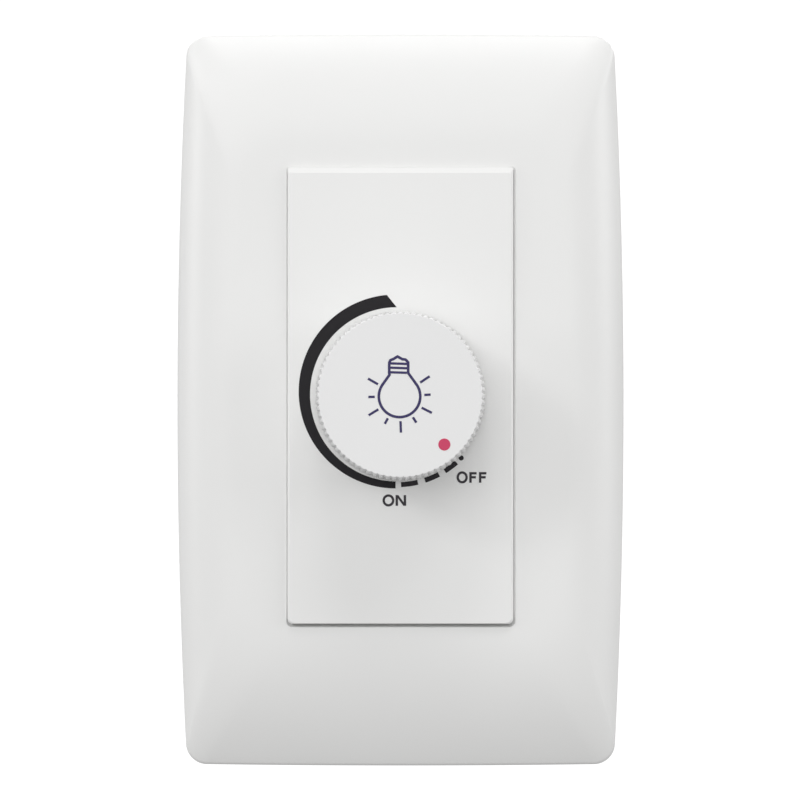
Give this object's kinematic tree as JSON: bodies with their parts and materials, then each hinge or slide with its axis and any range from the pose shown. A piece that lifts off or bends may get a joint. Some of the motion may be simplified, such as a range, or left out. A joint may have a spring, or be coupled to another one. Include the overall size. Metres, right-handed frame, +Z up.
{
  "type": "rotary dimmer switch",
  "caption": "Wall-mounted rotary dimmer: bowed white cover plate, tall flat face, tapered knob with grip teeth, and a boxed dimmer module behind.",
  "frame": {"origin": "centre of the two wall-fixing slots, in the wall plane at the frame's back face", "axes": "+Z up along the plate's long side, +X to the right of someone facing the switch, -Y out of the wall towards that person"},
  "size_m": [0.072, 0.0509, 0.118],
  "materials": {
    "white_plate": "moulded ABS, satin",
    "white_face": "moulded ABS, satin",
    "white_knob": "moulded ABS, satin",
    "frame_plastic": "moulded polycarbonate, matte",
    "housing_plastic": "moulded flame-retardant nylon, matte",
    "zinc_steel": "zinc plated",
    "can_steel": "tin plated",
    "bush_brass": "turned",
    "terminal_brass": "pressed",
    "tinned_wire": "tinned",
    "phenolic": "paper phenolic board",
    "dark_moulding": "moulded phenolic",
    "nylon": "moulded nylon",
    "black_epoxy": "moulded epoxy on a tinned copper tab",
    "sink_aluminium": "mill finish",
    "ferrite": "sintered ferrite",
    "copper_wire": "enamelled copper",
    "yellow_box": "moulded box",
    "red_box": "moulded box",
    "diode_glass": "glass body",
    "resistor_enamel": "enamelled"
  },
  "bodies": {
    "dimmer_body": {"wall_plate": "white_plate", "mounting_frame": "frame_plastic", "module_cover": "white_face", "module_housing": "housing_plastic", "housing_screws": "zinc_steel", "pot_bush": "bush_brass", "pot_washer": "zinc_steel", "pot_nut": "zinc_steel", "pot_can": "can_steel", "pot_track_board": "phenolic", "pot_pins": "tinned_wire", "switch_case": "dark_moulding", "switch_contacts": "terminal_brass", "triac": "black_epoxy", "heat_sink": "sink_aluminium", "heat_sink_screw": "zinc_steel", "heat_sink_nut": "zinc_steel", "choke_core": "ferrite", "choke_winding": "copper_wire", "film_capacitor": "yellow_box", "timing_capacitor": "red_box", "diac": "diode_glass", "resistors": "resistor_enamel", "fuse": "dark_moulding", "terminal_clamps": "terminal_brass", "terminal_screws": "zinc_steel", "circuit_board": "phenolic"},
    "turning_knob": {"knob": "white_knob", "pot_shaft": "bush_brass", "pot_retaining_ring": "can_steel", "pot_rotor": "dark_moulding", "pot_wiper": "terminal_brass", "switch_cam": "nylon"}
  },
  "joints": [
    {"name": "knob_turn", "type": "hinge", "parent": "dimmer_body", "child": "turning_knob", "pos_m": [0, 0, 0], "axis": [0, 1, 0], "range_deg": [0, 219]}
  ]
}
